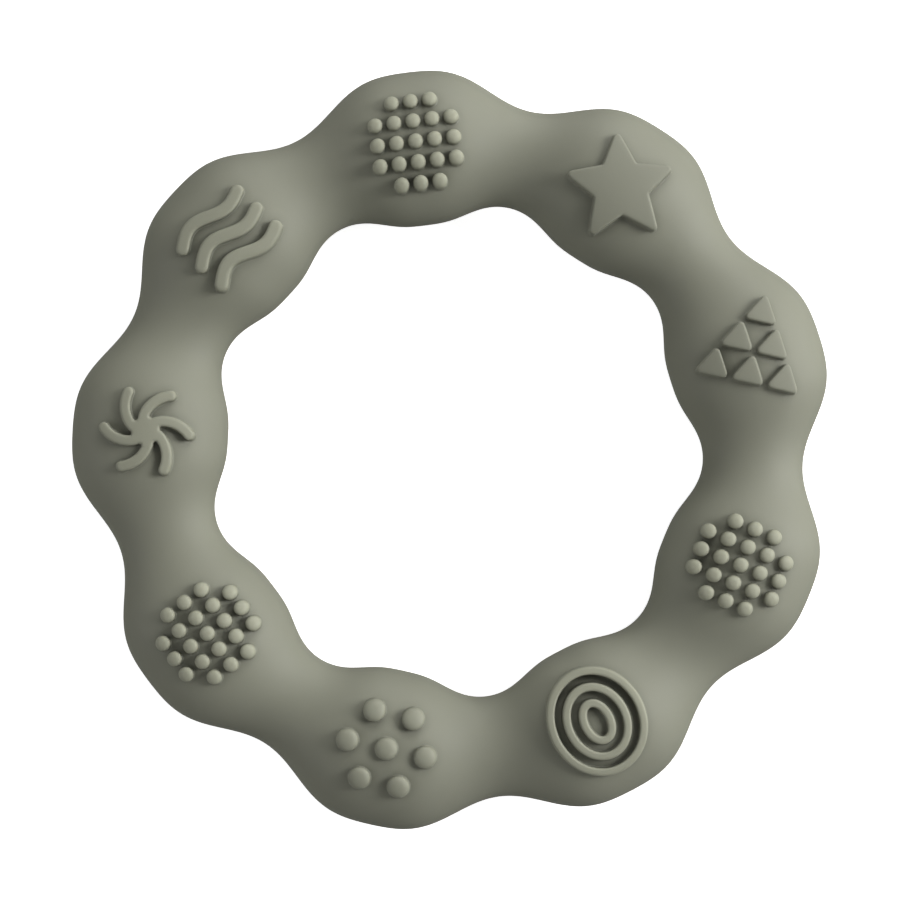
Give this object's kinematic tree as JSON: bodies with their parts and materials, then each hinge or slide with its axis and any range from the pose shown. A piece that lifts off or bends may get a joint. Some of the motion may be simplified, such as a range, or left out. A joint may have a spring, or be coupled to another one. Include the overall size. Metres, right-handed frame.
{
  "type": "teething ring",
  "caption": "Soft silicone teething ring of rounded beads joined by slimmer necks, with a different raised chewing texture on the front of each bead.",
  "frame": {"origin": "middle of the hole, at the level of the surface that the ring lies on", "axes": "+Z along the ring's axis, out of the patterned front; +Y through the middle of the bead with the upper small dots"},
  "size_m": [0.1092, 0.1081, 0.0191],
  "materials": {
    "silicone": "matte sage green moulded silicone"
  },
  "bodies": {
    "root": {"ring_body": "silicone", "triangle_relief": "silicone", "star_relief": "silicone", "small_dot_relief_upper": "silicone", "wave_relief": "silicone", "pinwheel_relief": "silicone", "small_dot_relief_left": "silicone", "large_dot_relief": "silicone", "oval_ring_relief": "silicone", "small_dot_relief_right": "silicone"}
  },
  "joints": []
}
